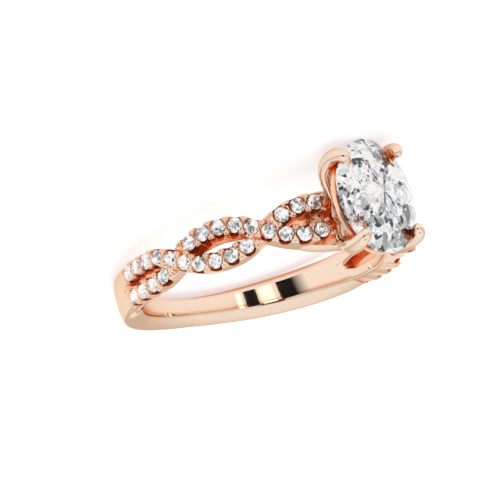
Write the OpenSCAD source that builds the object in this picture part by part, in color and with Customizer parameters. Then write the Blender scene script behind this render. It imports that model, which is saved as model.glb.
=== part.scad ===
// Twisted shank engagement ring: an oval stone in four claws over two braided, stone-set shoulders.
// The finger axis lies along Z and the head points along +X until the ring is laid on its side.

/* [Finger] */
// Inside diameter of the ring, a US size 7
bore_d = 17.3; // [15.7:0.2:19.8]

/* [Plain band] */
// Thickness of the plain band, from the finger outwards
band_wall = 1.65; // [1.3:0.05:2.2]
// Width of the plain band opposite the head
band_w = 2.0; // [1.7:0.1:2.6]
// Width of the plain band where the braid begins
band_join_w = 2.9; // [2.7:0.1:3.3]
// Height of the rounding on the band's outer face
band_crown = 0.35; // [0.2:0.05:0.5]

/* [Braided shoulders] */
// Width of one strand of the braid
strand_w = 1.25; // [1.15:0.05:1.4]
// Thickness of a strand, from the finger outwards
strand_wall = 1.5; // [1.3:0.05:1.9]
// How far a strand's middle swings from the shank's middle, lobe by lobe from the head
lobe_swing = 1.0; // [0.85:0.05:1.15]
// Angle from the head to the first crossing of the strands
cross_1 = 33.7; // [31:0.5:36]
// Angle from the head to the second crossing
cross_2 = 70.7; // [68:0.5:74]
// Angle from the head to where the strands have become the plain band
braid_end = 112; // [108:1:118]
// How much higher the strands stand beside the head
head_rise = 0.75; // [0.3:0.05:1.0]
// How much lower a strand passes under its partner
weave_dip = 0.4; // [0.2:0.05:0.6]

/* [Small stones] */
// Diameter of a small round stone
pave_d = 1.05; // [0.9:0.01:1.06]
// Spacing of the small stones along a strand
pave_pitch = 1.18; // [1.16:0.01:1.3]
// Play between a small stone and its seat
pave_play = 0.03; // [0.02:0.01:0.05]

/* [Centre stone] */
// Length of the oval stone, along the finger
stone_l = 8.0; // [7.0:0.1:8.6]
// Width of the oval stone, around the finger
stone_w = 6.0; // [5.4:0.1:6.6]
// Height of the stone's crown
stone_crown = 0.9; // [0.7:0.05:1.1]
// Depth of the stone's pavilion
stone_pavilion = 2.55; // [2.2:0.05:2.7]
// Height of the girdle above the finger
girdle_h = 5.05; // [4.7:0.05:5.6]
// Play between the stone and its claws
stone_play = 0.04; // [0.03:0.01:0.08]

/* [Head] */
// Thickness of a claw where it grips the stone
claw_d = 1.0; // [0.8:0.05:1.2]
// Thickness of the rail that joins the claws under the stone
rail_d = 0.5; // [0.4:0.05:0.7]
// Thickness of the bridge under the head
bridge_wall = 1.1; // [0.9:0.05:1.4]
// Width of the bridge under the head
bridge_w = 4.0; // [3.6:0.1:4.4]
// Diameter of the round hole through the bridge, under the stone
azure_d = 1.8; // [1.2:0.1:2.2]

/* [Hidden] */
$fn = 48;
finger_r = bore_d / 2;

// A solid that is cut to the finger starts this far inside it
bore_overlap = 0.3;
inner_r = finger_r - bore_overlap;

// Eases from 0 to 1 as x goes from 0 to 1
function ease(x) = let (u = min(1, max(0, x))) u * u * (3 - 2 * u);
function mix(a, b, x) = a + (b - a) * x;
// A point at an angle round the finger, a radius from its axis and a height along it
function on_ring(angle, radius, height) = [radius * cos(angle), radius * sin(angle), height];

// Joins rings of points, each with the same count, into one closed solid
module swept(rings) {
    m = len(rings[0]);
    n = len(rings);
    sides = [for (i = [0:n - 2], j = [0:m - 1])
        let (a = i * m + j, b = i * m + (j + 1) % m)
        each [[a, b + m, b], [a, a + m, b + m]]];
    first = [for (j = [0:m - 1]) j];
    last = [for (j = [m - 1:-1:0]) (n - 1) * m + j];
    polyhedron([for (r = rings) each r], concat(sides, [first, last]));
}

// The lobes of the braid, each from one crossing to the next, with its share of the swing and how
// much flatter than a sine wave its top is
CROSSINGS = [0, cross_1, cross_2, braid_end];
SWING_SHARES = [1.0, 1.1, 0.95];
FLAT_SHARES = [0, 0.05, 0.12];
// The strand that starts on the lower side of the head is -1, and its partner is 1
LOWER = -1;
UPPER = 1;

function lobe_at(angle) = angle < cross_1 ? 0 : angle < cross_2 ? 1 : 2;
// How far a strand stands from the shank's middle, along the finger
function swing_at(angle, strand) =
    let (k = lobe_at(angle),
         turn = 180 * (angle - CROSSINGS[k]) / (CROSSINGS[k + 1] - CROSSINGS[k]))
    strand * (k == 1 ? -1 : 1) * lobe_swing * SWING_SHARES[k]
        * (sin(turn) + FLAT_SHARES[k] * sin(3 * turn));
// The upper strand passes over at the first crossing, and the lower one at the second
function under_angle(strand) = strand == LOWER ? cross_1 : cross_2;
under_span = 6;
function dip_at(angle, strand) =
    weave_dip * (1 - ease(abs(angle - under_angle(strand)) / under_span));
rise_from = cross_1 + 3;
rise_to = 13;
function rise_at(angle) = head_rise * ease((rise_from - angle) / (rise_from - rise_to));
// Radius of a strand's top, with and without the dip under its partner
function crest_at(angle) = finger_r + strand_wall + rise_at(angle);
function top_at(angle, strand) = crest_at(angle) - dip_at(angle, strand);

// The braid's own path is measured on the round that the strands' tops follow
path_r = finger_r + strand_wall;
mm_per_deg = path_r * PI / 180;
function heading_at(angle, strand) =
    atan((swing_at(angle + 0.5, strand) - swing_at(angle - 0.5, strand)) / mm_per_deg);
function climb_at(angle) = atan((crest_at(angle - 0.5) - crest_at(angle + 0.5)) / mm_per_deg);

// Small stones stand evenly along each strand, in a run on each side of where it passes under
first_place = 13.4;
last_place = 99.2;
under_gap = 7.7;
function path_step(a, b, strand) =
    norm([(b - a) * mm_per_deg, swing_at(b, strand) - swing_at(a, strand)]);
function run_angles(from, to, strand) =
    let (n = 40,
         at = function (i) mix(from, to, i / n),
         lengths = [for (i = 0, s = 0;
                         i <= n;
                         s = s + path_step(at(i), at(i + 1), strand), i = i + 1) s],
         angle_of = [for (i = [0:n]) [lengths[i], at(i)]],
         gaps = round(lengths[n] / pave_pitch))
    [for (k = [0:gaps]) lookup(k * lengths[n] / gaps, angle_of)];
function pave_angles(strand) =
    concat(run_angles(first_place, under_angle(strand) - under_gap, strand),
           run_angles(under_angle(strand) + under_gap, last_place, strand));

// The girdle of a small stone lies a little below the strand's top
pave_sink = 0.13;
pave_r = pave_d / 2;
pave_girdle = 0.03 * pave_d;
pave_crown = 0.15 * pave_d;
pave_pavilion = 0.42 * pave_d;
pave_table = 0.58;
pave_point = 0.02;

// Sets its children on a strand, with their +Z outwards and their +Y along the strand
module on_strand(angle, strand, sink = 0) {
    radius = crest_at(angle) - sink;
    rotate([0, 0, angle])
        translate([radius, 0, swing_at(angle, strand)])
            rotate([0, 0, climb_at(angle)])
                rotate([0, 90, 0])
                    rotate([0, 0, heading_at(angle, strand)])
                        children();
}

// A small round stone of eight crown facets, eight pavilion facets and a table
module small_stone() {
    ring = function (radius, height)
        [for (i = [0:7]) [radius * cos(45 * i), radius * sin(45 * i), height]];
    swept([ring(pave_point, -pave_girdle / 2 - pave_pavilion),
           ring(pave_r, -pave_girdle / 2),
           ring(pave_r, pave_girdle / 2),
           ring(pave_r * pave_table, pave_girdle / 2 + pave_crown)]);
}

// The seat under a small stone, open at the top
seat_foot_r = 0.15;
seat_top = 0.8;
module small_seat() {
    r = pave_r + pave_play;
    depth = pave_girdle / 2 + pave_play;
    translate([0, 0, -depth])
        cylinder(r = r, h = seat_top);
    translate([0, 0, -depth - pave_pavilion])
        cylinder(r1 = seat_foot_r, r2 = r, h = pave_pavilion + 0.001);
}

// The scallop cut across the strand under each stone leaves a post between two stones
scallop_w = 0.58;
scallop_depth = 0.4;
module scallop() {
    r = scallop_w / 2;
    rotate([90, 0, 90])
        linear_extrude(strand_w + 0.3, center = true) {
            translate([0, r - scallop_depth])
                circle(r);
            translate([-r, r - scallop_depth])
                square([scallop_w, seat_top]);
        }
}

module pave(strand) {
    color("whitesmoke")
        for (a = pave_angles(strand))
            on_strand(a, strand, pave_sink)
                small_stone();
}

module pave_cuts(strand) {
    for (a = pave_angles(strand))
        on_strand(a, strand, pave_sink) {
            small_seat();
            scallop();
        }
}

// One strand of the braid: a bar with bevelled top edges and a round end beside the head
strand_bevel = 0.14;
strand_start = first_place - 0.62 / mm_per_deg;
strand_stop = braid_end - 3;
strand_steps = 48;
end_round = 0.6;
function strand_half_w(angle) =
    let (run = (angle - strand_start) * mm_per_deg / end_round)
    strand_w / 2 * sqrt(1 - pow(max(0, 1 - run), 2) * 0.9);
// Where a strand meets the finger: its swing and its width as shares of those at its top
FOOT_SWING = [[0, 0.93], [64, 0.93], [80, 1], [112, 1]];
FOOT_WIDTH = [[0, 1], [64, 1], [80, 0.66], [100, 0.64], [112, 0.8]];
foot_reach = bore_overlap / (strand_wall - strand_bevel);
function strand_ring(angle, strand) =
    let (h = strand_half_w(angle), top = top_at(angle, strand), mid = swing_at(angle, strand),
         head = heading_at(angle, strand),
         spot = function (across, radius) on_ring(
             angle - across * sin(head) / mm_per_deg, radius, mid + across * cos(head)),
         shift = mix(0, mid * (lookup(angle, FOOT_SWING) - 1), 1 + foot_reach),
         foot = h * mix(1, lookup(angle, FOOT_WIDTH), 1 + foot_reach))
    [spot(shift - foot, inner_r), spot(shift + foot, inner_r), spot(h, top - strand_bevel),
     spot(h - strand_bevel, top), spot(strand_bevel - h, top), spot(-h, top - strand_bevel)];
module strand_bar(strand) {
    angles = [for (i = [0:strand_steps])
        let (u = i / strand_steps) mix(strand_start, strand_stop, u * (0.55 + 0.45 * u))];
    swept([for (a = angles) strand_ring(a, strand)]);
}

// The floor between the strands of the last lobe: flush with the finger where the strands cross,
// and then the bottom of an eye-shaped hollow on each side
WEB_TABLE = [[72, inner_r], [82, inner_r], [88, finger_r + 0.7], [108, finger_r + 0.7]];
web_top = finger_r + 0.95;
web_half_w = 0.5;
web_steps = 9;
module web() {
    first = WEB_TABLE[0][0];
    last = WEB_TABLE[len(WEB_TABLE) - 1][0];
    swept([for (i = [0:web_steps])
        let (angle = mix(first, last, i / web_steps), low = lookup(angle, WEB_TABLE))
        [on_ring(angle, low, -web_half_w), on_ring(angle, low, web_half_w),
         on_ring(angle, web_top, web_half_w), on_ring(angle, web_top, -web_half_w)]]);
}

// Half widths of the plain band from where the braid ends to opposite the head, as shares of the
// way from the width at the bottom to the width at the braid
BAND_ANGLES = [102, 110, 128, 141, 153, 165, 180];
BAND_SHARES = [0.8, 1, 0.9, 0.72, 0.48, 0.2, 0];
band_start = BAND_ANGLES[0];
BAND_TABLE = [for (i = [0:len(BAND_ANGLES) - 1]) [BAND_ANGLES[i], BAND_SHARES[i]]];
function band_half_w(angle) = mix(band_w, band_join_w, lookup(angle, BAND_TABLE)) / 2;
function band_top(angle) =
    finger_r + mix(strand_wall, band_wall, ease((angle - band_start) / 20));
// The face on the finger is narrower: its width as a share of the outer one
FLARE_TABLE = [[102, 0.83], [112, 0.7], [124, 0.63], [180, 0.62]];
cheek_share = 0.45;
cheek_rise = 0.5;
inner_share = -cheek_share * bore_overlap / cheek_rise;
crown_steps = 6;
band_steps = 52;
// Radius and height of each point of the band's section, round from its lower inner edge
function band_section(angle) =
    let (h = band_half_w(angle), top = band_top(angle), side = top - band_crown,
         flat = h * lookup(angle, FLARE_TABLE), inner = mix(flat, h, inner_share),
         cheek = [finger_r + cheek_rise, mix(flat, h, cheek_share)])
    concat([[inner_r, -inner], [inner_r, inner], cheek],
           [for (i = [0:crown_steps])
               let (a = 180 * i / crown_steps)
               [side + band_crown * pow(sin(a), 0.7), h * cos(a)]],
           [[cheek[0], -cheek[1]]]);
module band() {
    swept([for (i = [0:band_steps])
        let (angle = mix(band_start, 360 - band_start, i / band_steps),
             fold = angle > 180 ? 360 - angle : angle)
        [for (p = band_section(fold)) on_ring(angle, p[0], p[1])]]);
}

// The bridge that carries the head: its half width as shares of its full width
BRIDGE_TABLE = [[0, 1], [11, 0.95], [18, 0.82], [27, 0.6]];
bridge_span = 27;
bridge_bevel = 0.25;
module bridge() {
    top = finger_r + bridge_wall;
    swept([for (angle = [-bridge_span:3:bridge_span])
        let (h = bridge_w / 2 * lookup(abs(angle), BRIDGE_TABLE))
        [on_ring(angle, inner_r, -h), on_ring(angle, inner_r, h),
         on_ring(angle, top - bridge_bevel, h), on_ring(angle, top, h - bridge_bevel),
         on_ring(angle, top, bridge_bevel - h), on_ring(angle, top - bridge_bevel, -h)]]);
}

// The head: its collar on the bridge, four claws and the rail that joins them
girdle_x = finger_r + girdle_h;
collar_r = 1.45;
collar_top = finger_r + 2.0;
claw_base = [0.85, 0.8];
// The claw's middle stands this far outside the girdle where it grips the stone
claw_offset = 0.3;
claw_turn = 45;
function outward(angle) =
    let (v = [sin(angle) / stone_w, cos(angle) / stone_l]) v / norm(v);
claw_grip = [stone_w / 2 * sin(claw_turn), stone_l / 2 * cos(claw_turn)]
    + claw_offset * outward(claw_turn);
// A claw's middle line: height as a share of the girdle's, share of the way out to the grip,
// and thickness and width as shares of the grip's
CLAW_HEIGHT = 0;
CLAW_OUT = 1;
CLAW_THICK = 2;
CLAW_WIDE = 3;
CLAW_TABLE = [[0.16, 0, 0.8, 1.0], [0.34, 0.04, 0.8, 1.1], [0.44, 0.18, 0.82, 1.2],
              [0.51, 0.39, 0.86, 1.3], [0.58, 0.62, 0.92, 1.38], [0.67, 0.82, 0.96, 1.38],
              [0.79, 0.95, 1, 1.28], [0.92, 1.0, 1, 1.12], [1.03, 0.98, 0.98, 1.02],
              [1.09, 0.93, 0.92, 0.94], [1.125, 0.85, 0.82, 0.82], [1.142, 0.77, 0.6, 0.6],
              [1.147, 0.725, 0.3, 0.3]];
claw_sides = 10;
function claw_middle(row) =
    let (yz = claw_base + row[CLAW_OUT] * (claw_grip - claw_base))
    [finger_r + row[CLAW_HEIGHT] * girdle_h, yz[0], yz[1]];
module claw() {
    n = len(CLAW_TABLE);
    flat = claw_grip - claw_base;
    side = [0, -flat[1], flat[0]] / norm(flat);
    swept([for (i = [0:n - 1])
        let (mid = claw_middle(CLAW_TABLE[i]),
             way = claw_middle(CLAW_TABLE[min(i + 1, n - 1)])
                 - claw_middle(CLAW_TABLE[max(i - 1, 0)]),
             out = claw_d / 2 * CLAW_TABLE[i][CLAW_THICK] * cross(side, way / norm(way)),
             wide = claw_d / 2 * CLAW_TABLE[i][CLAW_WIDE] * side)
        [for (k = [0:claw_sides - 1])
            let (a = 360 * k / claw_sides) mid + cos(a) * out + sin(a) * wide]]);
}
rail_x = girdle_x - 0.85;
rail_half = [stone_w / 2 - 0.42, stone_l / 2 - 0.48];
rail_steps = 40;
rail_sides = 8;
module rail() {
    rings = [for (i = [0:rail_steps - 1])
        let (a = 360 * i / rail_steps,
             mid = [rail_x, rail_half[0] * sin(a), rail_half[1] * cos(a)],
             out = [0, rail_half[1] * sin(a), rail_half[0] * cos(a)],
             side = out / norm(out))
        [for (k = [0:rail_sides - 1])
            let (b = 360 * k / rail_sides) mid + rail_d / 2 * (cos(b) * side + [sin(b), 0, 0])]];
    m = rail_sides;
    n = rail_steps;
    faces = [for (i = [0:n - 1], j = [0:m - 1])
        let (a = i * m + j, b = i * m + (j + 1) % m,
             c = (i + 1) % n * m + j, d = (i + 1) % n * m + (j + 1) % m)
        each [[a, d, b], [a, c, d]]];
    polyhedron([for (r = rings) each r], faces);
}
module collar() {
    translate([inner_r, 0, 0])
        rotate([0, 90, 0])
            cylinder(r = collar_r, h = collar_top - inner_r);
}
module head() {
    collar();
    rail();
    for (y = [0, 1], z = [0, 1])
        mirror([0, y, 0])
            mirror([0, 0, z])
                claw();
}

// The oval brilliant, grown outwards by some play: a table, eight kites, eight stars and sixteen
// halves over the girdle, and eight mains and sixteen halves under it
gem_girdle = 0.16;
gem_table = 0.57;
gem_star = 0.8;
gem_lower = 0.28;
module oval_stone(grow) {
    half = [stone_w / 2 + grow, stone_l / 2 + grow];
    crown = gem_girdle / 2 + stone_crown + grow;
    culet = -gem_girdle / 2 - stone_pavilion - 2 * grow;
    edge = gem_girdle / 2 + grow;
    spot = function (share, angle, height)
        [girdle_x + height, half[0] * share * sin(angle), half[1] * share * cos(angle)];
    fall = function (high, low, share_in, share_out, share)
        mix(high, low, (share * cos(22.5) - share_in) / (share_out - share_in));
    star_h = fall(crown, edge, gem_table, 1, gem_star);
    lower_h = fall(culet, -edge, 0, 1, gem_lower);
    points = concat(
        [for (k = [0:7]) spot(gem_table, 45 * k, crown)],
        [for (k = [0:7]) spot(gem_star, 45 * k + 22.5, star_h)],
        [for (k = [0:15]) spot(1, 22.5 * k, edge)],
        [for (k = [0:15]) spot(1, 22.5 * k, -edge)],
        [for (k = [0:7]) spot(gem_lower, 45 * k + 22.5, lower_h)],
        [[girdle_x + culet, 0, 0]]);
    star = 8;
    upper = 16;
    under = 32;
    lower = 48;
    tip = 56;
    polyhedron(points, concat(
        [[for (k = [0:7]) k]],
        [for (k = [0:7]) [(k + 1) % 8, k, star + k]],
        [for (k = [0:7]) [k, star + (k + 7) % 8, upper + 2 * k, star + k]],
        [for (k = [0:7]) [star + k, upper + 2 * k, upper + 2 * k + 1]],
        [for (k = [0:7]) [star + k, upper + 2 * k + 1, upper + (2 * k + 2) % 16]],
        [for (k = [0:15]) [upper + k, under + k, under + (k + 1) % 16, upper + (k + 1) % 16]],
        [for (k = [0:7]) [under + 2 * k, lower + k, under + 2 * k + 1]],
        [for (k = [0:7]) [under + 2 * k + 1, lower + k, under + (2 * k + 2) % 16]],
        [for (k = [0:7]) [under + 2 * k, lower + (k + 7) % 8, tip, lower + k]]));
}

// The ring lies on its side, on the stone's end and on the band's lower edge
SUPPORT_ANGLES = [104:4:180];
rest_slope = min([for (a = SUPPORT_ANGLES)
    (stone_l / 2 - band_half_w(a)) / (girdle_x - (band_top(a) - band_crown) * cos(a))]);
module laid() {
    rotate([0, -atan(rest_slope), 0])
        children();
}
module shoulder(right) {
    mirror([0, right, 0])
        children();
}

module shank_and_setting() {
    color("peachpuff")
        laid()
            difference() {
                union() {
                    band();
                    bridge();
                    head();
                    for (right = [0, 1])
                        shoulder(right) {
                            strand_bar(LOWER);
                            strand_bar(UPPER);
                            web();
                        }
                }
                cylinder(r = finger_r, h = 2 * bridge_w, center = true);
                rotate([0, 90, 0])
                    cylinder(d = azure_d, h = collar_top + 1);
                for (right = [0, 1], strand = [LOWER, UPPER])
                    shoulder(right)
                        pave_cuts(strand);
                oval_stone(stone_play);
            }
}

module centre_stone() {
    color("white")
        laid()
            oval_stone(0);
}
module left_lower_pave() {
    laid()
        pave(LOWER);
}
module left_upper_pave() {
    laid()
        pave(UPPER);
}
module right_lower_pave() {
    laid()
        shoulder(1)
            pave(LOWER);
}
module right_upper_pave() {
    laid()
        shoulder(1)
            pave(UPPER);
}

shank_and_setting();
centre_stone();
left_lower_pave();
left_upper_pave();
right_lower_pave();
right_upper_pave();
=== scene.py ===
"""Twisted shank ring in polished rose gold, with two braided, stone-set shoulders and an oval stone.

Shapes are worked out in the ring's own frame, in millimetres: the finger axis is Z, the head points
along +X and the left shoulder along +Y. The last step lays the ring on its side and turns
millimetres into metres.
"""
import math
import bpy
import numpy as np
from mathutils import Matrix, Vector


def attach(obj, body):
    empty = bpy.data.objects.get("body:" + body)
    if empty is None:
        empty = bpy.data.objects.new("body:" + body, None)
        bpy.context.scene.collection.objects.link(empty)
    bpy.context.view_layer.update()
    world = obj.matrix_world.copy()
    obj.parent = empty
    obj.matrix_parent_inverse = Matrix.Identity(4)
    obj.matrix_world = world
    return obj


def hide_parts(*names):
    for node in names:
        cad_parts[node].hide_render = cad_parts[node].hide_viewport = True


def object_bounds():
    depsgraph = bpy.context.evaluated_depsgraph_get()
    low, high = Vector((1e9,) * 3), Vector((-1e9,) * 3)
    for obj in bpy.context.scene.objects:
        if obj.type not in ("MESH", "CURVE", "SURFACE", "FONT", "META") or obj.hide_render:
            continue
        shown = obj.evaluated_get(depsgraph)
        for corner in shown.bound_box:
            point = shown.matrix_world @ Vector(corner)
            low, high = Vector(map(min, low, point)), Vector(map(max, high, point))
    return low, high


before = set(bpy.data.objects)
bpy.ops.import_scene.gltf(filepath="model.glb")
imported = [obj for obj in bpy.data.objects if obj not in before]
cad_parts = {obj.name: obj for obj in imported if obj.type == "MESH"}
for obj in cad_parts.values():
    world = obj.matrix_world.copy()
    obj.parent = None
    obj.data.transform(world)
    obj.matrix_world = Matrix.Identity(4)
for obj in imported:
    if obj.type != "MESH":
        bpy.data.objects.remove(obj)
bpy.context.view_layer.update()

# Sizes of the ring, the same as in the part's source
FINGER_R = 8.65
BAND_WALL = 1.65
BAND_W = 2.0
BAND_JOIN_W = 2.9
BAND_CROWN = 0.35
STRAND_W = 1.25
STRAND_WALL = 1.5
LOBE_SWING = 1.0
CROSSINGS = np.array([0.0, 33.7, 70.7, 112.0])
SWING_SHARES = np.array([1.0, 1.1, 0.95])
FLAT_SHARES = np.array([0.0, 0.05, 0.12])
HEAD_RISE = 0.75
WEAVE_DIP = 0.4
PAVE_D = 1.05
PAVE_PITCH = 1.18
PAVE_SINK = 0.13
FIRST_PLACE = 13.4
LAST_PLACE = 99.2
UNDER_GAP = 7.7
STONE_L = 8.0
STONE_W = 6.0
STONE_CROWN = 0.9
STONE_PAVILION = 2.55
GIRDLE_X = FINGER_R + 5.05
GIRDLE = 0.16
CLAW_D = 1.0
RAIL_D = 0.5
BRIDGE_WALL = 1.1
BRIDGE_W = 4.0
BRIDGE_SPAN = 27.0
AZURE_D = 1.8
COLLAR_R = 1.45
COLLAR_TOP = FINGER_R + 2.0
LOWER, UPPER = -1, 1
LEFT, RIGHT = 1, -1
MM = 0.001


def ease(x):
    """0 up to x = 0, 1 from x = 1, and 3x^2 - 2x^3 between."""
    u = np.clip(x, 0.0, 1.0)
    return u * u * (3 - 2 * u)


def mix(a, b, x):
    """a at x = 0, b at x = 1, and a straight line between."""
    return a + (b - a) * x


# The band's half width as shares of the way from the bottom's width to the braid's, and its finger
# face's width as a share of the outer one
BAND_ANGLES = [102, 110, 128, 141, 153, 165, 180]
BAND_SHARES = [0.8, 1, 0.9, 0.72, 0.48, 0.2, 0]
FLARE_ANGLES = [102, 112, 124, 180]
FLARE_SHARES = [0.83, 0.7, 0.63, 0.62]


def band_half_w(angle):
    """Half width of the band at angles folded to 102 to 180 degrees."""
    return mix(BAND_W, BAND_JOIN_W, np.interp(angle, BAND_ANGLES, BAND_SHARES)) / 2


def band_top(angle):
    """Radius of the band's outer face, easing from the strand's wall to the band's."""
    return FINGER_R + mix(STRAND_WALL, BAND_WALL, ease((angle - BAND_ANGLES[0]) / 20))


support = np.arange(104, 181, 4.0)
REST_SLOPE = np.min((STONE_L / 2 - band_half_w(support))
                    / (GIRDLE_X - (band_top(support) - BAND_CROWN) * np.cos(np.radians(support))))
LAID = math.atan(REST_SLOPE)


def laid(points):
    """Turns ring points about Y by the resting angle, head end up, and scales them to metres."""
    c, s = math.cos(LAID), math.sin(LAID)
    turn = np.array([[c, 0, -s], [0, 1, 0], [s, 0, c]])
    return np.asarray(points, float) @ turn.T * MM


def on_ring(angle, radius, height):
    """The point at an angle in degrees round the finger, a radius from its axis and a height."""
    a = np.radians(angle)
    return np.stack([radius * np.cos(a), radius * np.sin(a), height + 0 * a], -1)


def grid_faces(rows, cols, wrap_rows, wrap_cols):
    """Quads of a grid of points, joined end to end where a direction wraps."""
    i = np.arange(rows if wrap_rows else rows - 1)[:, None]
    j = np.arange(cols if wrap_cols else cols - 1)[None, :]
    a = i * cols + j
    b = i * cols + (j + 1) % cols
    c = (i + 1) % rows * cols + (j + 1) % cols
    d = (i + 1) % rows * cols + j
    return np.stack(np.broadcast_arrays(a, b, c, d), -1).reshape(-1, 4)


def tube(rings, closed=False):
    """A closed solid through rings of points: quads between rings, and a fan over each end."""
    n, m = rings.shape[:2]
    points = rings.reshape(-1, 3)
    faces = grid_faces(n, m, closed, True).tolist()
    if not closed:
        ends = np.array([rings[0].mean(0), rings[-1].mean(0)])
        points = np.vstack([points, ends])
        j = np.arange(m)
        k = (j + 1) % m
        faces += np.stack([k, j, 0 * j + n * m], -1).tolist()
        faces += np.stack([(n - 1) * m + j, (n - 1) * m + k, 0 * j + n * m + 1], -1).tolist()
    return points, faces


def outward(points, faces):
    """The same solid with its faces turned outwards, told by the sign of its volume."""
    first = points[[f[0] for f in faces]]
    total = 0.0
    for f in {len(f) for f in faces}:
        rows = np.array([g for g in faces if len(g) == f])
        p = points[rows]
        for k in range(1, f - 1):
            total += np.einsum("ij,ij->i", p[:, 0], np.cross(p[:, k], p[:, k + 1])).sum()
    return points, faces if total > 0 else [g[::-1] for g in faces]


def with_painted_shade(solid, painted_shade):
    """A solid whose corners carry painted shade: how far in a hollow they lie, from 0 to 1, which darkens
    the gold there, or below 0 where they stand proud, which lightens it. This is given as a tube's rings
    of corners or one value for all. A tube's two end corners get none."""
    points, faces = solid
    depth = np.zeros(len(points))
    painted_shade = np.asarray(painted_shade, float)
    depth[:painted_shade.size if painted_shade.ndim else None] = painted_shade.ravel()
    return points, faces, depth


def piece(name, solids, material, smooth=True, sharp=None):
    """One object from several closed solids, laid and in metres, riding on the ring. The corners of the
    shaded ones carry their painted shade, how far in a hollow they lie, as an attribute that the gold
    reads."""
    points, faces, depths, start = [], [], [], 0
    for p, f, *depth in solids:
        p, f = outward(np.asarray(p, float), f)
        points.append(p)
        depths.append(depth[0] if depth else np.zeros(len(p)))
        faces += [[i + start for i in g] for g in f]
        start += len(p)
    mesh = bpy.data.meshes.new(name)
    mesh.from_pydata(laid(np.vstack(points)).tolist(), [], faces)
    mesh.update()
    mesh.attributes.new("painted_shade", "FLOAT", "POINT").data.foreach_set("value", np.concatenate(depths))
    mesh.polygons.foreach_set("use_smooth", np.full(len(mesh.polygons), smooth))
    if sharp is not None:
        mesh.set_sharp_from_angle(angle=math.radians(sharp))
    obj = bpy.data.objects.new(name, mesh)
    bpy.context.scene.collection.objects.link(obj)
    mesh.materials.append(material)
    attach(obj, "root")
    return obj


# The braid's path
PATH_R = FINGER_R + STRAND_WALL
MM_PER_DEG = PATH_R * math.pi / 180


def swing_at(angle, strand):
    """How far a strand's middle stands along the finger: a slightly flattened sine in each lobe."""
    angle = np.asarray(angle, float)
    k = np.clip(np.searchsorted(CROSSINGS, angle, side="right") - 1, 0, 2)
    turn = np.pi * (angle - CROSSINGS[k]) / (CROSSINGS[k + 1] - CROSSINGS[k])
    sign = np.where(k == 1, -1.0, 1.0)
    return strand * sign * LOBE_SWING * SWING_SHARES[k] * (np.sin(turn) + FLAT_SHARES[k] * np.sin(3 * turn))


def under_angle(strand):
    """The crossing where the strand passes under its partner."""
    return CROSSINGS[1] if strand == LOWER else CROSSINGS[2]


def crest_at(angle):
    """Radius of a strand's top, which rises beside the head."""
    rise_from, rise_to = CROSSINGS[1] + 3, 13.0
    return FINGER_R + STRAND_WALL + HEAD_RISE * ease((rise_from - angle) / (rise_from - rise_to))


def heading_at(angle, strand):
    """Direction of the path, in radians from straight round the finger."""
    return np.arctan2(swing_at(angle + 0.5, strand) - swing_at(angle - 0.5, strand), MM_PER_DEG)


def climb_at(angle):
    """Slope of the strand's top, in radians."""
    return np.arctan2(crest_at(angle - 0.5) - crest_at(angle + 0.5), MM_PER_DEG)


def path_lengths(angles, strand):
    """Length along the path from the first of some rising angles to each of them."""
    swing = swing_at(angles, strand)
    steps = np.hypot(np.diff(angles) * MM_PER_DEG, np.diff(swing))
    return np.concatenate([[0], np.cumsum(steps)])


def run_angles(start, stop, strand):
    """Angles of stones spaced evenly by path length, from start to stop, near the named pitch."""
    angles = np.linspace(start, stop, 41)
    lengths = path_lengths(angles, strand)
    gaps = round(lengths[-1] / PAVE_PITCH)
    return np.interp(np.linspace(0, lengths[-1], gaps + 1), lengths, angles)


def pave_runs(strand):
    """The two runs of stones of a strand, on each side of where it passes under its partner."""
    u = under_angle(strand)
    return [run_angles(FIRST_PLACE, u - UNDER_GAP, strand), run_angles(u + UNDER_GAP, LAST_PLACE, strand)]


def strand_axes(angle, strand):
    """For angles on a strand: the middle of its top, and its unit directions along, across and out."""
    a, climb, head = np.radians(angle), climb_at(angle), heading_at(angle, strand)
    mid = on_ring(angle, crest_at(angle), swing_at(angle, strand))
    radial = np.stack([np.cos(a), np.sin(a), 0 * a], -1)
    round_ = np.stack([-np.sin(a), np.cos(a), 0 * a], -1)
    axial = np.broadcast_to(np.array([0.0, 0.0, 1.0]), radial.shape)
    out = radial * np.cos(climb)[..., None] + round_ * np.sin(climb)[..., None]
    level = round_ * np.cos(climb)[..., None] - radial * np.sin(climb)[..., None]
    along = level * np.cos(head)[..., None] + axial * np.sin(head)[..., None]
    across = axial * np.cos(head)[..., None] - level * np.sin(head)[..., None]
    return mid, along, across, out


# How far the finger faces of the band and of the strands turn up at their edges
FACE_LIP = 0.05
FOOT_LIP = 0.06

# Form of a strand: a bar with a scallop in both walls and a seat under each stone
STRAND_STATIONS = 430
STRAND_START = FIRST_PLACE - 0.62 / MM_PER_DEG
STRAND_STOP = CROSSINGS[3] - 3
END_ROUND = 0.6
END_SINK = 0.55
DIP_REACH = 6
SCALLOP_R = 0.35
SCALLOP_DEPTH = 0.5
SEAT_R = PAVE_D / 2 + 0.03
SEAT_SLOPE = 0.75
SADDLE = 0.1
EDGE = 0.1
# Where a strand meets the finger: its swing and its width as shares of those at its top
FOOT_ANGLES = [38, 46, 60, 66, 80, 100, 112]
FOOT_SWINGS = [0.93, 0.86, 0.86, 0.93, 1, 1, 1]
FOOT_WIDTHS = [1, 1.15, 1.15, 1, 0.66, 0.64, 0.8]


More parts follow.
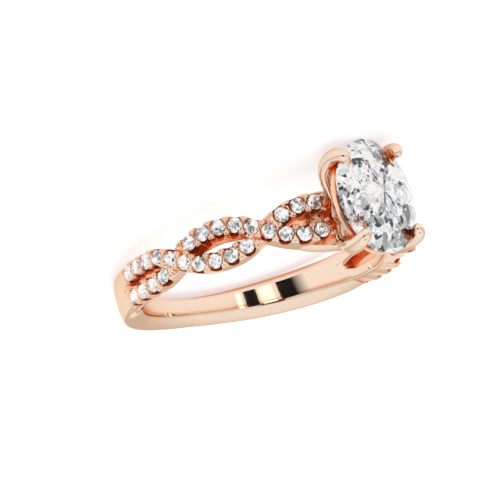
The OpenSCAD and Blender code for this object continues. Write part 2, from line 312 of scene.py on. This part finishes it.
def strand(side, which):
    """A strand: at each station along the path, a loop down one wall, under the finger face, up the
    other wall and over the top. The top lies under the crest by the deeper of the scallop, a half
    circle along the path, and the seat, a cone round each stone. A dip carries it under its partner,
    and its end sinks into the band. What lies under the crest gets painted shade, and so do the two
    edges of the finger face."""
    angle = np.linspace(STRAND_START, STRAND_STOP, STRAND_STATIONS)
    length = path_lengths(angle, which)
    stones = np.interp(np.concatenate(pave_runs(which)), angle, length)
    off = np.abs(length[:, None] - stones[None, :]).min(1)
    run = np.clip((angle - STRAND_START) * MM_PER_DEG / END_ROUND, 0, 1)
    half = STRAND_W / 2 * np.sqrt(1 - 0.96 * (1 - run) ** 2)
    dip = WEAVE_DIP * (1 - ease(np.abs(angle - under_angle(which)) / DIP_REACH))
    sink = END_SINK * ease((angle - BAND_ANGLES[0] - 0.3) / 2.2)
    crest = crest_at(angle) - dip - sink
    scallop = SCALLOP_DEPTH * np.sqrt(np.clip(1 - (off / SCALLOP_R) ** 2, 0, 1))

    v = np.sin(np.linspace(-np.pi / 2, np.pi / 2, 23))
    across = half[:, None] * v[None, :]
    reach = np.hypot(across, off[:, None])
    seat = np.where(reach < SEAT_R, PAVE_SINK + SEAT_SLOPE * (SEAT_R - reach), 0)
    saddle = SADDLE * np.exp(-(across / 0.2) ** 2) * (off < 0.75)[:, None]
    edge = EDGE * (1 - np.sqrt(np.clip(1 - np.clip((np.abs(v) - 0.8) / 0.2, 0, 1) ** 2, 0, 1)))
    top = crest[:, None] - np.maximum(scallop[:, None], np.maximum(seat, saddle)) - edge[None, :]

    head = heading_at(angle, which)
    mid = swing_at(angle, which)

    def spot(cross, radius):
        """Points across the path, on given radii."""
        return on_ring(angle[:, None] - cross * np.sin(head)[:, None] / MM_PER_DEG, radius,
                       mid[:, None] + cross * np.cos(head)[:, None])

    foot = half * np.interp(angle, FOOT_ANGLES, FOOT_WIDTHS)
    shift = mid * (np.interp(angle, FOOT_ANGLES, FOOT_SWINGS) - 1)
    wall = np.linspace(0, 1, 7)[1:-1]
    under = np.linspace(1, -1, 7)
    low = FINGER_R + FOOT_LIP
    left, right = (shift - foot)[:, None], (shift + foot)[:, None]
    up_l = spot(mix(left, -half[:, None], wall), mix(low, top[:, :1], wall))
    over = spot(across, top)
    down_r = spot(mix(half[:, None], right, wall), mix(top[:, -1:], low, wall))
    inner = spot(shift[:, None] + foot[:, None] * under,
                 FINGER_R + FOOT_LIP * np.abs(under)[None, :] ** 6 + 0 * half[:, None])
    rings = np.concatenate([up_l, over, down_r, inner], 1)
    rings[..., 1] *= side
    # Painted shade: darker in the scallops and seats under the crest, and along the finger face's edges
    painted_shade = np.zeros(rings.shape[:2])
    painted_shade[:, up_l.shape[1]:up_l.shape[1] + over.shape[1]] = (crest[:, None] - edge - top - 0.1) / 0.3
    painted_shade[:, [-inner.shape[1], -1]] = 0.45
    return with_painted_shade(tube(rings), np.clip(painted_shade, 0, 1))


# Beads: each post between two stones is split into four, two on each side of the strand
BEAD_R = 0.12
BEAD_ACROSS = 0.475
BEAD_ALONG = 0.115
BEAD_DROP = 0.03
# Painted highlight: under 0, the beads' colour is lifted, as they stand proud
BEAD_PAINTED_HIGHLIGHT = -0.5


def beads(side, which):
    """Small domes on the posts: ellipsoids of radius 0.9r, r and 1.2r on the strand's own axes."""
    angle = np.linspace(STRAND_START, LAST_PLACE + 5, 900)
    length = path_lengths(angle, which)
    posts = []
    for run in pave_runs(which):
        at = np.interp(run, angle, length)
        pitch = at[1] - at[0]
        posts += [at[:1] - pitch / 2, (at[:-1] + at[1:]) / 2, at[-1:] + pitch / 2]
    posts = np.concatenate(posts)
    spots = (posts[:, None] + np.array([-BEAD_ALONG, BEAD_ALONG])).ravel()
    place = np.interp(spots, length, angle)
    mid, along, across, out = strand_axes(place, which)
    turn = np.linspace(0, 2 * np.pi, 11)[:-1]
    rise = np.linspace(-np.pi / 2, np.pi / 2, 8)[1:-1]
    shape = np.stack([np.outer(np.cos(rise), np.cos(turn)), np.outer(np.cos(rise), np.sin(turn)),
                      np.outer(np.sin(rise), 0 * turn + 1)], -1)
    solids = []
    for wall in (-1, 1):
        for m, a, c, o in zip(mid, along, across, out):
            centre = m + wall * BEAD_ACROSS * c - BEAD_DROP * o
            dome = shape[..., :1] * a * 0.9 + shape[..., 1:2] * c + shape[..., 2:] * o * 1.2
            ring = centre + BEAD_R * dome
            ring[..., 1] *= side
            solids.append(with_painted_shade(tube(ring), BEAD_PAINTED_HIGHLIGHT))
    return solids


# The V in the band's ends, in degrees deep, and over how many degrees it fades
NOTCH = 5.5
NOTCH_FADE = 14


def band():
    """The plain band: at each angle a loop with a finger face that turns up at its edges by the
    square of the distance, straight flared cheeks, and a domed outer face, whose height follows
    the sine of the turn to the power 0.7. Its ends are notched to a V where the strands part. Along
    one edge of the finger face runs a line of painted shade that stands for a creased edge, darkest a
    little inside it, along a bell curve."""
    angle = np.linspace(BAND_ANGLES[0], 360 - BAND_ANGLES[0], 241)
    fold = np.where(angle > 180, 360 - angle, angle)
    h = band_half_w(fold)[:, None]
    top = band_top(fold)[:, None]
    flat = h * np.interp(fold, FLARE_ANGLES, FLARE_SHARES)[:, None]
    turn = np.linspace(0, np.pi, 25)[None, :]
    side = top - BAND_CROWN
    dome_r = side + BAND_CROWN * np.sin(turn) ** 0.7
    dome_z = h * np.cos(turn)
    t = np.linspace(0, 1, 9)[None, 1:-1]
    bulge = 0.05 * np.sin(np.pi * t)
    cheek_r = mix(FINGER_R + FACE_LIP, side, t)
    cheek_z = mix(flat, h, t ** 0.9) + bulge
    share = np.concatenate([np.linspace(0, 1, 7), [1.6, 2.4]])[None, :]
    lip = np.minimum(0.3, 0.4 * flat)
    half_z = flat - lip * share
    half_r = FINGER_R + FACE_LIP * np.clip(1 - share, 0, 1) ** 2 + 0 * flat
    face_z = np.concatenate([-half_z, half_z[:, ::-1]], 1)
    face_r = np.concatenate([half_r, half_r[:, ::-1]], 1)
    radius = np.concatenate([face_r, cheek_r, dome_r, cheek_r[:, ::-1]], 1)
    height = np.concatenate([face_z, cheek_z, dome_z, -cheek_z[:, ::-1]], 1)
    notch = NOTCH * np.clip(1 - np.abs(height) / (0.8 * h), 0, 1)
    notch *= ease(1 - (fold[:, None] - BAND_ANGLES[0]) / NOTCH_FADE)
    # Painted shade: a dark line near one edge of the finger face, standing for a creased edge
    crease_shade = 0.6 * np.exp(-((share[:, ::-1] - 1.1) / 0.3) ** 2) + 0 * h
    rest = np.zeros((len(angle), radius.shape[1] - 2 * crease_shade.shape[1]))
    painted_shade = np.concatenate([0 * crease_shade, crease_shade, rest], 1)
    rings = on_ring(angle[:, None] + np.where(angle > 180, -1, 1)[:, None] * notch, radius, height)
    return with_painted_shade(tube(rings), painted_shade)


# The floor between the strands of the last lobe: how far off the finger it lies, and half its width
WEB_LOW = 0.7
WEB_TOP = 0.95
WEB_FLUSH = 0.02
WEB_HALF = 0.5


def web(side):
    """The floor between the strands of the last lobe: a bar flush with the finger where the strands
    meet, whose finger face then eases away to the bottom of the hollow."""
    angle = np.linspace(72, 108, 73)[:, None]
    low = FINGER_R + WEB_FLUSH + (WEB_LOW - WEB_FLUSH) * ease((angle - 82) / 5)
    height = np.array([-1, -0.5, 0, 0.5, 1, 1, 0.5, 0, -0.5, -1]) * WEB_HALF
    radius = np.where(np.arange(10) < 5, low, FINGER_R + WEB_TOP)
    rings = on_ring(angle, radius, height)
    rings[..., 1] *= side
    return tube(rings)


BRIDGE_BEVEL = 0.2
RIM_POWER = 2.5


def bridge():
    """The plate under the head, as a washer: round the azure hole, a loop over the hole's wall, the
    outer face, the rim and the finger face. The rim is a superellipse of power 2.5."""
    turn = np.linspace(0, 2 * np.pi, 121)[:-1][:, None]
    long_r = BRIDGE_SPAN * math.pi / 180 * FINGER_R
    far = np.abs(np.cos(turn) / long_r) ** RIM_POWER + np.abs(np.sin(turn) / (BRIDGE_W / 2)) ** RIM_POWER
    reach = far ** (-1 / RIM_POWER)
    t = np.linspace(0, 1, 14)[None, :]
    across = mix(AZURE_D / 2, reach, t)
    over = np.clip((across - reach + BRIDGE_BEVEL) / BRIDGE_BEVEL, 0, 1)
    lift = FINGER_R + BRIDGE_WALL - BRIDGE_BEVEL * (1 - np.sqrt(1 - over ** 2))
    radius = np.concatenate([lift, FINGER_R + 0 * across[:, ::-1]], 1)
    spread = np.concatenate([across, across[:, ::-1]], 1)
    angle = np.degrees(spread * np.cos(turn) / FINGER_R)
    return tube(on_ring(angle, radius, spread * np.sin(turn)), closed=True)


def round_x(profile, sides=64):
    """A profile of rows (x, radius), a closed loop, turned about the X axis."""
    turn = np.linspace(0, 2 * np.pi, sides + 1)[:-1][:, None]
    x, r = np.asarray(profile, float).T
    return tube(np.stack([x + 0 * turn, r * np.cos(turn), r * np.sin(turn)], -1), closed=True)


def collar():
    """The short round collar between the bridge and the claws: a profile turned about X, with a
    rounded rim."""
    r, hole, top = COLLAR_R, AZURE_D / 2, COLLAR_TOP
    return round_x([[FINGER_R + 0.4, r], [top - 0.15, r], [top - 0.04, r - 0.05], [top, r - 0.16],
                    [top, hole + 0.12], [top - 0.08, hole], [FINGER_R + 0.4, hole]])


# Claws: where they start, how far outside the girdle they grip, how much painted shade their inner
# side gets low down, and rows of height as a share of the girdle's, share of the way out to the grip,
# and thickness and width as shares of their diameter
CLAW_BASE = np.array([0.85, 0.8])
CLAW_OFFSET = 0.3
CLAW_PAINTED_SHADE = 0.25
CLAW_TABLE = np.array([[0.16, 0, 0.8, 1.0], [0.34, 0.04, 0.8, 1.1], [0.44, 0.18, 0.82, 1.2],
                       [0.51, 0.39, 0.86, 1.3], [0.58, 0.62, 0.92, 1.38], [0.67, 0.82, 0.96, 1.38],
                       [0.79, 0.95, 1, 1.28], [0.92, 1.0, 1, 1.12], [1.03, 0.98, 0.98, 1.02],
                       [1.09, 0.93, 0.92, 0.94], [1.125, 0.85, 0.82, 0.82], [1.142, 0.77, 0.6, 0.6],
                       [1.147, 0.725, 0.3, 0.3]])


def smooth_rows(rows, count):
    """A Catmull-Rom curve through rows: cubic pieces whose slopes join neighbouring rows."""
    n = len(rows)
    u = np.linspace(0, n - 1 - 1e-9, count)
    i = u.astype(int)
    t = (u - i)[:, None]
    padded = np.vstack([2 * rows[0] - rows[1], rows, 2 * rows[-1] - rows[-2]])
    a, b, c, d = (padded[i + k] for k in range(4))
    return 0.5 * (2 * b + (c - a) * t + (2 * a - 5 * b + 4 * c - d) * t ** 2
                  + (3 * b - a - 3 * c + d) * t ** 3)


def claw(side, up):
    """A claw: ellipses across a middle line that flares from the collar, climbs past the girdle and
    curls over the crown, ending in a round tip. The side towards the stone gets painted shade low down."""
    turn45 = math.pi / 4
    grip = np.array([STONE_W / 2 * math.sin(turn45), STONE_L / 2 * math.cos(turn45)])
    out45 = np.array([math.sin(turn45) / STONE_W, math.cos(turn45) / STONE_L])
    grip = grip + CLAW_OFFSET * out45 / np.linalg.norm(out45)
    rows = smooth_rows(CLAW_TABLE, 64)
    yz = CLAW_BASE + rows[:, 1:2] * (grip - CLAW_BASE)
    mid = np.column_stack([FINGER_R + rows[:, 0] * (GIRDLE_X - FINGER_R), yz])
    way = np.gradient(mid, axis=0)
    way /= np.linalg.norm(way, axis=1)[:, None]
    flat = grip - CLAW_BASE
    wide = np.array([0, -flat[1], flat[0]]) / np.linalg.norm(flat)
    out = np.cross(wide, way)
    turn = np.linspace(0, 2 * np.pi, 29)[:-1]
    rings = (mid[:, None] + CLAW_D / 2 * rows[:, 2, None, None] * np.cos(turn)[None, :, None] * out[:, None]
             + CLAW_D / 2 * rows[:, 3, None, None] * np.sin(turn)[None, :, None] * wide)
    rings[..., 1] *= side
    rings[..., 2] *= up
    # Painted shade on the side towards the stone, fading out between 0.45 and 0.75 of the way up to the
    # girdle
    inward = np.clip(-np.cos(turn), 0, 1)[None, :] * ease((0.75 - rows[:, :1]) / 0.3)
    return with_painted_shade(tube(rings), CLAW_PAINTED_SHADE * inward)


# How far the rail lies inside the stone's outline, across and along it, and under the girdle
RAIL_IN_Y = 0.42
RAIL_IN_Z = 0.48
RAIL_BELOW = 0.85


def rail():
    """The oval rail under the stone: a circle carried round an ellipse."""
    a = np.linspace(0, 2 * np.pi, 121)[:-1][:, None]
    b = np.linspace(0, 2 * np.pi, 17)[:-1][None, :]
    half_y, half_z = STONE_W / 2 - RAIL_IN_Y, STONE_L / 2 - RAIL_IN_Z
    out_y, out_z = half_z * np.sin(a), half_y * np.cos(a)
    size = np.hypot(out_y, out_z)
    r = RAIL_D / 2
    return tube(np.stack([GIRDLE_X - RAIL_BELOW + r * np.sin(b) + 0 * a,
                          half_y * np.sin(a) + r * np.cos(b) * out_y / size,
                          half_z * np.cos(a) + r * np.cos(b) * out_z / size], -1), closed=True)


def brilliant(half_y, half_z, crown, pavilion, girdle, table=0.57, star=0.8, lower=0.24):
    """A brilliant cut in its own frame, table up along X: a table of eight corners, stars, kites and
    upper halves down to a girdle of sixteen corners, then lower halves and mains to the point. The
    corners between them lie in the kites' and mains' planes, so every facet is flat."""
    c = math.cos(math.pi / 8)
    edge, top, tip = girdle / 2, girdle / 2 + crown, -girdle / 2 - pavilion
    star_x = top + (edge - top) * (star * c - table) / (1 - table)
    lower_x = tip + (-edge - tip) * lower * c
    k8, k16 = np.arange(8) * math.pi / 4, np.arange(16) * math.pi / 8

    def ring(share, angles, x):
        """A ring of corners at a share of the girdle's size."""
        return np.column_stack([x + 0 * angles, half_y * share * np.sin(angles),
                                half_z * share * np.cos(angles)])

    points = np.vstack([ring(table, k8, top), ring(star, k8 + math.pi / 8, star_x), ring(1, k16, edge),
                        ring(1, k16, -edge), ring(lower, k8 + math.pi / 8, lower_x), [[tip, 0, 0]]])
    faces = [list(range(8))]
    for k in range(8):
        s, u, d, low = 8 + k, 16 + 2 * k, 32 + 2 * k, 48 + k
        u2, d2 = 16 + (2 * k + 2) % 16, 32 + (2 * k + 2) % 16
        faces += [[(k + 1) % 8, k, s], [k, 8 + (k + 7) % 8, u, s], [s, u, u + 1], [s, u + 1, u2],
                  [u, d, d + 1, u + 1], [u + 1, d + 1, d2, u2],
                  [d, low, d + 1], [d + 1, low, d2], [d, 48 + (k + 7) % 8, 56, low]]
    return points, faces


PAVILION_SHARES = [0.83, 0.67, 0.51, 0.36, 0.22, 0.1]


def centre_stone():
    """The oval stone: a brilliant's crown over a pavilion of many small facets. Rings of sixteen
    corners shrink to the point, every other ring turned by half a step, and their depth goes as
    the share left to the power 0.95, so the triangles between them all face differently."""
    points, faces = brilliant(STONE_W / 2, STONE_L / 2, STONE_CROWN, STONE_PAVILION, GIRDLE)
    faces = [f for f in faces if max(f) < 48]
    points = points[:48]
    step = math.pi / 8
    last = np.arange(32, 48)
    for row, share in enumerate(PAVILION_SHARES, 1):
        turn = (np.arange(16) + 0.5 * (row % 2)) * step
        x = -GIRDLE / 2 - STONE_PAVILION * (1 - share) ** 0.95
        ring = np.column_stack([x + 0 * turn, STONE_W / 2 * share * np.sin(turn),
                                STONE_L / 2 * share * np.cos(turn)])
        here = np.arange(16) + len(points)
        points = np.vstack([points, ring])
        ahead, after = np.roll(last, -1), np.roll(here, -1)
        if row % 2:
            halves = ([last, here, ahead], [here, after, ahead])
        else:
            halves = ([last, here, after], [last, after, ahead])
        for corners in halves:
            faces += np.column_stack(corners).tolist()
        last = here
    points = np.vstack([points, [[-GIRDLE / 2 - STONE_PAVILION, 0, 0]]])
    faces += np.column_stack([last, 0 * last + len(points) - 1, np.roll(last, -1)]).tolist()
    return points + np.array([GIRDLE_X, 0, 0]), faces


def pave(side, which):
    """A strand's row of small round brilliants, each on the strand's own axes."""
    angle = np.concatenate(pave_runs(which))
    mid, along, across, out = strand_axes(angle, which)
    points, faces = brilliant(PAVE_D / 2, PAVE_D / 2, 0.15 * PAVE_D, 0.42 * PAVE_D, 0.03 * PAVE_D)
    solids = []
    for m, a, c, o in zip(mid, along, across, out):
        p = m + (points[:, :1] - PAVE_SINK) * o + points[:, 1:2] * a + points[:, 2:] * c
        p[:, 1] *= side
        solids.append((p, faces))
    return solids


# Materials
def linear(hex_colour):
    """sRGB hex to linear RGBA: c/12.92 near black, otherwise ((c + 0.055)/1.055)^2.4."""
    c = np.array([int(hex_colour[i:i + 2], 16) for i in (1, 3, 5)]) / 255
    return (*np.where(c <= 0.04045, c / 12.92, ((c + 0.055) / 1.055) ** 2.4), 1.0)


def add(tree, kind, settings=None, links=None):
    """Adds a node, sets its properties and inputs, and links inputs from other nodes' outputs."""
    node = tree.nodes.new(kind)
    for key, value in (settings or {}).items():
        if isinstance(key, int) or key in node.inputs:
            node.inputs[key].default_value = value
        else:
            setattr(node, key, value)
    for key, source in (links or {}).items():
        tree.links.new(source, node.inputs[key])
    return node


def material(name):
    """An empty node material and its output."""
    m = bpy.data.materials.new(name)
    m.use_nodes = True
    m.node_tree.nodes.clear()
    return m, m.node_tree, m.node_tree.nodes.new("ShaderNodeOutputMaterial")


def rose_gold():
    """14k rose gold, cast and polished on a wheel: a warm mirror that fine scratches soften here and
    there. They are finer than shows, so their patches are drawn 0.2 mm across. Shade is painted into
    the colour, as gold mirrors gold in a hollow: it deepens where a spot sees little open space within
    0.9 mm or its corners are marked as lying in a hollow, and lightens where they stand proud. There
    the gold also glows faintly, a painted glow in place of the light of the bounces past those that
    are traced."""
    m, tree, out = material("rose_gold_polished")
    place = add(tree, "ShaderNodeTexCoord").outputs["Object"]
    fine = add(tree, "ShaderNodeTexNoise", {"Scale": 5200.0, "Detail": 3.0}, {"Vector": place})
    gloss = add(tree, "ShaderNodeMapRange",
                {"From Min": 0.3, "From Max": 0.7, "To Min": 0.06, "To Max": 0.11},
                {"Value": fine.outputs["Fac"]})
    # Painted shade: the open space round a spot, less how far its corners lie in a hollow, picks the colour
    open_sky = add(tree, "ShaderNodeAmbientOcclusion", {"Distance": 0.0009, "samples": 8})
    painted_shade = add(tree, "ShaderNodeAttribute", {"attribute_name": "painted_shade"}).outputs["Fac"]
    left = add(tree, "ShaderNodeMath", {"operation": "SUBTRACT"}, {0: open_sky.outputs["AO"], 1: painted_shade})
    # The ramp runs from painted brown shade through orange to the polished gold's own peach
    tint = add(tree, "ShaderNodeValToRGB", links={"Fac": left.outputs["Value"]})
    ramp = tint.color_ramp
    ramp.elements[0].color = linear("#7a2c12")
    ramp.elements[1].color = linear("#eed6c1")
    ramp.elements[1].position = 0.88
    ramp.elements.new(0.09).color = linear("#b85426")
    ramp.elements.new(0.2).color = linear("#dc7030")
    ramp.elements.new(0.6).color = linear("#f4bc98")
    # Painted glow: the gold glows in its own colour in the darkest hollows, though no lamp is there
    painted_glow = add(tree, "ShaderNodeMapRange",
               {"From Min": 0.0, "From Max": 0.45, "To Min": 0.24, "To Max": 0.0},
               {"Value": left.outputs["Value"]})
    metal = add(tree, "ShaderNodeBsdfPrincipled", {"Metallic": 1.0, "Specular Tint": linear("#f6e2d2")},
                {"Base Color": tint.outputs["Color"], "Roughness": gloss.outputs["Result"],
                 "Emission Color": tint.outputs["Color"], "Emission Strength": painted_glow.outputs["Result"]})
    tree.links.new(metal.outputs["BSDF"], out.inputs["Surface"])
    return m


def as_it_lies(tree):
    """The place on the object, in millimetres."""
    place = add(tree, "ShaderNodeTexCoord").outputs["Object"]
    scaled = add(tree, "ShaderNodeVectorMath", {"operation": "SCALE", "Scale": 1 / MM}, {0: place})
    return scaled.outputs["Vector"]


# How far round, and how far out, the oval's pattern reaches in millimetres for each unit
FAN = (1.9, 3.2, 1)


def round_the_stone(tree):
    """The angle round the oval stone's axis and the share of the way out to its girdle, stretched to
    about their lengths in millimetres, so that what is drawn on them fans out from the middle."""
    place = as_it_lies(tree)
    shares = []
    for way in ((0, 2 / STONE_W, 0), (-2 / STONE_L * math.sin(LAID), 0, 2 / STONE_L * math.cos(LAID))):
        along = add(tree, "ShaderNodeVectorMath", {"operation": "DOT_PRODUCT", 1: way}, {0: place})
        shares.append(along.outputs["Value"])
    wide, high = shares
    both = add(tree, "ShaderNodeCombineXYZ", links={0: wide, 1: high}).outputs["Vector"]
    share = add(tree, "ShaderNodeVectorMath", {"operation": "LENGTH"}, {0: both}).outputs["Value"]
    angle = add(tree, "ShaderNodeMath", {"operation": "ARCTAN2"}, {0: wide, 1: high}).outputs["Value"]
    fan = add(tree, "ShaderNodeCombineXYZ", links={0: angle, 1: share}).outputs["Vector"]
    spread = add(tree, "ShaderNodeVectorMath", {"operation": "MULTIPLY", 1: FAN}, {0: fan})
    return spread.outputs["Vector"]


# The patches of light in a stone: their sizes as shares of the middle one's, and their weights
PATCHES = ((2.4, 0.5), (1, 0.35), (0.5, 0.15))


def diamond(name, where, cell_mm, share, tilt, darkest):
    """Cut and polished diamond: clear, IOR 2.4, each facet a flat mirror. Of what the eye sees, a
    share is painted reflection in place of the light that the facets below throw back: angular
    patches in cells of three sizes, the middle one given in mm, each a mirror turned its own way by
    as much as the tilt, and coloured from its darkest grey to white."""
    m, tree, out = material(name)
    place = where(tree)
    facing = add(tree, "ShaderNodeNewGeometry").outputs["Normal"]
    level = None
    for size, weight in PATCHES:
        cell = add(tree, "ShaderNodeTexVoronoi",
                   {"distance": "MANHATTAN", "Scale": 1 / (size * cell_mm)}, {"Vector": place})
        off = add(tree, "ShaderNodeVectorMath",
                  {"operation": "SUBTRACT", 1: (0.5, 0.5, 0.5)}, {0: cell.outputs["Color"]})
        push = add(tree, "ShaderNodeVectorMath",
                   {"operation": "SCALE", "Scale": 2 * weight * tilt}, {0: off.outputs["Vector"]})
        turned = add(tree, "ShaderNodeVectorMath",
                     {"operation": "ADD"}, {0: facing, 1: push.outputs["Vector"]})
        way = add(tree, "ShaderNodeVectorMath", {"operation": "NORMALIZE"}, {0: turned.outputs["Vector"]})
        facing = way.outputs["Vector"]
        part = add(tree, "ShaderNodeMath",
                   {"operation": "MULTIPLY_ADD", 1: weight, 2: 0.0}, {0: cell.outputs["Color"]})
        if level:
            tree.links.new(level, part.inputs[2])
        level = part.outputs["Value"]
    # Painted reflections: the patches are coloured grey to white by their level
    tint = add(tree, "ShaderNodeValToRGB", links={"Fac": level})
    ramp = tint.color_ramp
    ramp.interpolation = "CONSTANT"
    ramp.elements[0].color = linear(darkest)
    ramp.elements[1].position = 0.31
    ramp.elements[1].color = linear("#b4b7bd")
    ramp.elements.new(0.39).color = linear("#e0e2e6")
    ramp.elements.new(0.45).color = linear("#ffffff")
    below = add(tree, "ShaderNodeBsdfPrincipled", {"Metallic": 1.0, "Roughness": 0.03},
                {"Base Color": tint.outputs["Color"], "Normal": facing})
    gem = add(tree, "ShaderNodeBsdfPrincipled",
              {"Base Color": linear("#fdfdff"), "Roughness": 0.0, "IOR": 2.4, "Transmission Weight": 1.0})
    both = add(tree, "ShaderNodeMixShader", {"Fac": share})
    tree.links.new(gem.outputs["BSDF"], both.inputs[1])
    tree.links.new(below.outputs["BSDF"], both.inputs[2])
    tree.links.new(both.outputs["Shader"], out.inputs["Surface"])
    return m


gold = rose_gold()
# The last grey given is each stone's darkest painted shade
clear = diamond("diamond_oval", round_the_stone, 0.38, 0.78, 1.0, "#3c3f46")
small = diamond("diamond_small", as_it_lies, 0.17, 0.85, 0.45, "#8a8d93")

SHOULDERS = [("left", LEFT), ("right", RIGHT)]
STRANDS = [("lower", LOWER), ("upper", UPPER)]
shank = piece("shank", [band(), bridge()]
              + [web(s) for _, s in SHOULDERS]
              + [strand(s, w) for _, s in SHOULDERS for _, w in STRANDS], gold, sharp=38)
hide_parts("shank_and_setting")
# The collar and the rail get painted shade, the collar more, as they lie under the stone
piece("head", [with_painted_shade(collar(), 0.2), with_painted_shade(rail(), 0.1)]
      + [claw(s, u) for s in (1, -1) for u in (1, -1)], gold, sharp=50)
for side_name, s in SHOULDERS:
    for row_name, w in STRANDS:
        row = f"{side_name}_{row_name}"
        piece(f"{row}_beads", beads(s, w), gold)
        stones = piece(f"{row}_stones", pave(s, w), small, smooth=False)
        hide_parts(f"{row}_pave")
oval = piece("oval_diamond", [centre_stone()], clear, smooth=False)
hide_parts("centre_stone")


# The floor, light and camera
def plane(name, centre, half, normal, colour, glow=0.0, fade=None):
    """A rectangle of one colour facing a normal, which glows by as much. It fades out across its
    width from the share fade to its far side."""
    m, tree, out = material(name)
    paint = add(tree, "ShaderNodeBsdfPrincipled",
                {"Base Color": linear(colour), "Roughness": 0.9, "Emission Color": linear(colour),
                 "Emission Strength": glow})
    shown = paint.outputs["BSDF"]
    if fade is not None:
        place = add(tree, "ShaderNodeTexCoord").outputs["UV"]
        across = add(tree, "ShaderNodeSeparateXYZ", links={"Vector": place})
        gone = add(tree, "ShaderNodeMapRange", {"From Min": fade}, {"Value": across.outputs["X"]})
        nothing = add(tree, "ShaderNodeBsdfTransparent").outputs["BSDF"]
        both = add(tree, "ShaderNodeMixShader", links={"Fac": gone.outputs["Result"], 1: shown, 2: nothing})
        shown = both.outputs["Shader"]
    tree.links.new(shown, out.inputs["Surface"])
    mesh = bpy.data.meshes.new(name)
    turn = Vector(normal).to_track_quat("Z", "Y").to_matrix()
    corners = [turn @ Vector((x * half[0], y * half[1], 0)) + Vector(centre)
               for x, y in ((-1, -1), (1, -1), (1, 1), (-1, 1))]
    mesh.from_pydata([tuple(c) for c in corners], [], [(0, 1, 2, 3)])
    mesh.uv_layers.new(name="UVMap").data.foreach_set("uv", [0.0, 0.0, 1.0, 0.0, 1.0, 1.0, 0.0, 1.0])
    obj = bpy.data.objects.new(name, mesh)
    bpy.context.scene.collection.objects.link(obj)
    mesh.materials.append(m)
    return obj


visual_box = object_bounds()
floor_z = visual_box[0][2]
# The floor is a pale sheet lit from below as well, so the shadows on it stay faint
plane("floor", (0, 0, floor_z), (1.5, 1.5), (0, 0, 1), "#b0b0b0", glow=1.5)

# The sky is a white dome, a little greyer low down
world = bpy.data.worlds.new("studio")
bpy.context.scene.world = world
world.use_nodes = True
world.node_tree.nodes.clear()
way_up = add(world.node_tree, "ShaderNodeSeparateXYZ",
             links={"Vector": add(world.node_tree, "ShaderNodeTexCoord").outputs["Generated"]})
dome = add(world.node_tree, "ShaderNodeValToRGB", links={"Fac": way_up.outputs["Z"]})
dome.color_ramp.elements[0].color = linear("#dedad6")
dome.color_ramp.elements[0].position = 0.2
dome.color_ramp.elements[1].color = linear("#ffffff")
dome.color_ramp.elements[1].position = 0.65
sky = add(world.node_tree, "ShaderNodeBackground", {"Strength": 1.03}, {"Color": dome.outputs["Color"]})
world_out = world.node_tree.nodes.new("ShaderNodeOutputWorld")
world.node_tree.links.new(sky.outputs["Background"], world_out.inputs["Surface"])


def lamp(name, place, aim, size, watts):
    """A square area light at a place, pointed at an aim, both in metres."""
    data = bpy.data.lights.new(name, "AREA")
    data.size = size
    data.energy = watts
    obj = bpy.data.objects.new(name, data)
    bpy.context.scene.collection.objects.link(obj)
    way = Vector(aim) - Vector(place)
    obj.matrix_world = Matrix.Translation(place) @ way.to_track_quat("-Z", "Y").to_matrix().to_4x4()
    return obj


lamp("overhead", (0.15, 0.1, 0.35), (0.0, 0.0, 0.0), 0.5, 0.1)


def card(name, azimuth, elevation, half, colour, distance=0.3):
    """A card that stands off the ring in a direction given in degrees, and faces it. Only reflections and
    the stones see it, so it shows only as a painted reflection."""
    a, e = math.radians(azimuth), math.radians(elevation)
    way = Vector((math.cos(e) * math.cos(a), math.cos(e) * math.sin(a), math.sin(e)))
    obj = plane(name, way * distance, half, -way, colour)
    obj.visible_camera = False
    obj.visible_diffuse = False
    obj.visible_shadow = False
    return obj


# Dark cards for painted dark reflections, one near the camera's direction and one high up
card("card_front", 38, 14, (0.06, 0.055), "#050505")
card("card_high", 10, 62, (0.05, 0.03), "#303030")

# Cards inside the ring, dark and bright by turns, which only the finger face mirrors: painted dark
# reflections and painted highlights, the bright ones glowing. The place of each in mm, half its width,
# the way it faces, its colour, how much it glows and where it fades out
INSIDE = [(-6.58, -3.04, 0.13, 26, "#ffffff", 0.9, None),
          (-6.23, -3.53, 0.31, 32, "#050505", 0.0, None),
          (-5.79, -4.15, 0.32, 42, "#ffffff", 0.9, None),
          (-5.00, -5.10, 0.70, 54, "#050505", 0.0, 0.55)]
for i, (x, y, half, heading, colour, glow, fade) in enumerate(INSIDE):
    a = math.radians(heading)
    inside = plane(f"card_inside_{i + 1}", (x * MM, y * MM, -0.85 * MM), (half * MM, MM),
                   (-math.cos(a), -math.sin(a), 0), colour, glow, fade)
    inside.visible_camera = False
    inside.visible_diffuse = False
    inside.visible_shadow = False

# The camera sees the ring from the head's side, rolled as the photograph is
CAMERA_RIGHT = Vector((0.4962, -0.8077, 0.3184))
CAMERA_UP = Vector((0.4456, -0.0779, -0.8919))
CAMERA_BACK = Vector((0.7452, 0.5844, 0.3213))
CAMERA_FROM = Vector((250.31, 197.0, 106.7)) * MM
camera = bpy.data.objects.new("camera", bpy.data.cameras.new("camera"))
bpy.context.scene.collection.objects.link(camera)
turn = Matrix((CAMERA_RIGHT, CAMERA_UP, CAMERA_BACK)).transposed().to_4x4()
camera.matrix_world = Matrix.Translation(CAMERA_FROM) @ turn
camera.data.sensor_width = 36
camera.data.lens = 358
camera.data.clip_start = 0.01
camera.data.clip_end = 10
bpy.context.scene.camera = camera
bpy.context.scene.view_settings.view_transform = "Standard"
